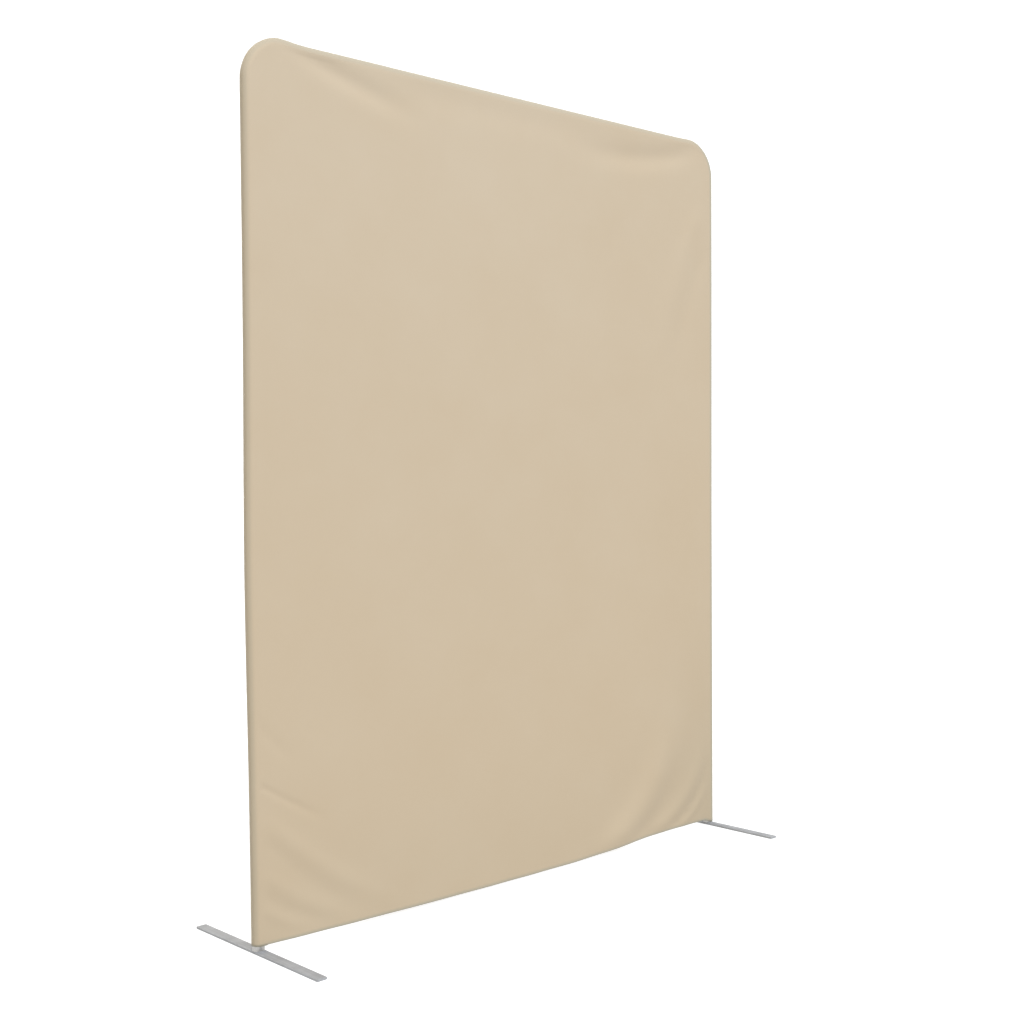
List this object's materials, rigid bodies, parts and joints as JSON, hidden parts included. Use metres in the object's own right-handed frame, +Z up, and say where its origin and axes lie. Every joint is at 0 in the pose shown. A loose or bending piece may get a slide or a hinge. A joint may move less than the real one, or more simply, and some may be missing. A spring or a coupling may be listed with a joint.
{
  "type": "fabric display backwall",
  "caption": "Free-standing fabric display wall: a zipped stretch cover over a push-together tube frame with rounded top corners, standing on flat steel feet that swivel for packing.",
  "frame": {"origin": "on the floor, midway between the feet and in the middle of the wall's thickness", "axes": "+X along the wall to the right seen from the front, +Y from the front to the back, +Z up"},
  "size_m": [1.8288, 0.545, 2.286],
  "materials": {
    "cover_cloth": "matt stretch knit, sand beige",
    "zip_tape": "woven polyester tape",
    "zip_coil": "nylon coil",
    "zip_metal": "enamelled zinc",
    "tube_aluminium": "satin anodised",
    "spigot_aluminium": "turned",
    "plug_nylon": "moulded grey nylon",
    "screw_steel": "zinc plated",
    "button_steel": "polished steel",
    "spring_steel": "blued spring steel",
    "foot_steel": "satin silver grey flat bar"
  },
  "bodies": {
    "frame": {"left_lower_upright": "tube_aluminium", "left_upper_upright": "tube_aluminium", "left_top_corner": "tube_aluminium", "right_lower_upright": "tube_aluminium", "right_upper_upright": "tube_aluminium", "right_top_corner": "tube_aluminium", "top_rail_left": "tube_aluminium", "top_rail_right": "tube_aluminium", "bottom_rail_left": "tube_aluminium", "bottom_rail_right": "tube_aluminium", "left_rail_spigot": "spigot_aluminium", "right_rail_spigot": "spigot_aluminium", "left_foot_plug": "plug_nylon", "right_foot_plug": "plug_nylon", "spigot_screws": "screw_steel", "foot_screws": "screw_steel", "left_upright_spring": "spring_steel", "left_corner_side_spring": "spring_steel", "left_corner_top_spring": "spring_steel", "top_middle_spring": "spring_steel", "right_corner_top_spring": "spring_steel", "right_corner_side_spring": "spring_steel", "right_upright_spring": "spring_steel", "left_rail_end_spring": "spring_steel", "bottom_middle_spring": "spring_steel", "right_rail_end_spring": "spring_steel", "cover_front_panel": "cover_cloth", "cover_back_panel": "cover_cloth", "zip_lower_tape": "zip_tape", "zip_upper_tape": "zip_tape", "zip_lower_row": "zip_coil", "zip_upper_row": "zip_coil", "zip_stops": "zip_coil"},
    "left_foot": {"left_foot_plate": "foot_steel"},
    "right_foot": {"right_foot_plate": "foot_steel"},
    "left_upright_button": {"left_upright_button": "button_steel"},
    "left_corner_side_button": {"left_corner_side_button": "button_steel"},
    "left_corner_top_button": {"left_corner_top_button": "button_steel"},
    "top_middle_button": {"top_middle_button": "button_steel"},
    "right_corner_top_button": {"right_corner_top_button": "button_steel"},
    "right_corner_side_button": {"right_corner_side_button": "button_steel"},
    "right_upright_button": {"right_upright_button": "button_steel"},
    "left_rail_end_button": {"left_rail_end_button": "button_steel"},
    "bottom_middle_button": {"bottom_middle_button": "button_steel"},
    "right_rail_end_button": {"right_rail_end_button": "button_steel"},
    "zip_slider": {"zip_slider": "zip_metal"},
    "zip_pull": {"zip_pull": "zip_metal"}
  },
  "joints": [
    {"name": "left_foot_swivel", "type": "hinge", "parent": "frame", "child": "left_foot", "pos_m": [-0.8975, 0, 0.0025], "axis": [0, 0, 1], "range_deg": [-90, 90]},
    {"name": "right_foot_swivel", "type": "hinge", "parent": "frame", "child": "right_foot", "pos_m": [0.8975, 0, 0.0025], "axis": [0, 0, 1], "range_deg": [-90, 90]},
    {"name": "left_upright_press", "type": "slide", "parent": "frame", "child": "left_upright_button", "axis": [-1, 0, 0], "range_m": [0, 0.0042], "stiffness_N_per_m": 800, "deforming": ["left_upright_spring"]},
    {"name": "left_corner_side_press", "type": "slide", "parent": "frame", "child": "left_corner_side_button", "axis": [-1, 0, 0], "range_m": [0, 0.0042], "stiffness_N_per_m": 800, "deforming": ["left_corner_side_spring"]},
    {"name": "left_corner_top_press", "type": "slide", "parent": "frame", "child": "left_corner_top_button", "axis": [0, 0, 1], "range_m": [0, 0.0042], "stiffness_N_per_m": 800, "deforming": ["left_corner_top_spring"]},
    {"name": "top_middle_press", "type": "slide", "parent": "frame", "child": "top_middle_button", "axis": [0, 0, 1], "range_m": [0, 0.0042], "stiffness_N_per_m": 800, "deforming": ["top_middle_spring"]},
    {"name": "right_corner_top_press", "type": "slide", "parent": "frame", "child": "right_corner_top_button", "axis": [0, 0, 1], "range_m": [0, 0.0042], "stiffness_N_per_m": 800, "deforming": ["right_corner_top_spring"]},
    {"name": "right_corner_side_press", "type": "slide", "parent": "frame", "child": "right_corner_side_button", "axis": [1, 0, 0], "range_m": [0, 0.0042], "stiffness_N_per_m": 800, "deforming": ["right_corner_side_spring"]},
    {"name": "right_upright_press", "type": "slide", "parent": "frame", "child": "right_upright_button", "axis": [1, 0, 0], "range_m": [0, 0.0042], "stiffness_N_per_m": 800, "deforming": ["right_upright_spring"]},
    {"name": "left_rail_end_press", "type": "slide", "parent": "frame", "child": "left_rail_end_button", "axis": [0, 0, -1], "range_m": [0, 0.0042], "stiffness_N_per_m": 800, "deforming": ["left_rail_end_spring"]},
    {"name": "bottom_middle_press", "type": "slide", "parent": "frame", "child": "bottom_middle_button", "axis": [0, 0, -1], "range_m": [0, 0.0042], "stiffness_N_per_m": 800, "deforming": ["bottom_middle_spring"]},
    {"name": "right_rail_end_press", "type": "slide", "parent": "frame", "child": "right_rail_end_button", "axis": [0, 0, -1], "range_m": [0, 0.0042], "stiffness_N_per_m": 800, "deforming": ["right_rail_end_spring"]},
    {"name": "zip_slide", "type": "slide", "parent": "frame", "child": "zip_slider", "axis": [-1, 0, 0], "range_m": [0, 1.678]},
    {"name": "zip_pull_swing", "type": "hinge", "parent": "zip_slider", "child": "zip_pull", "pos_m": [0.84115, 0.02025, 0.045], "axis": [0, 0, 1], "range_deg": [0, 170]}
  ]
}
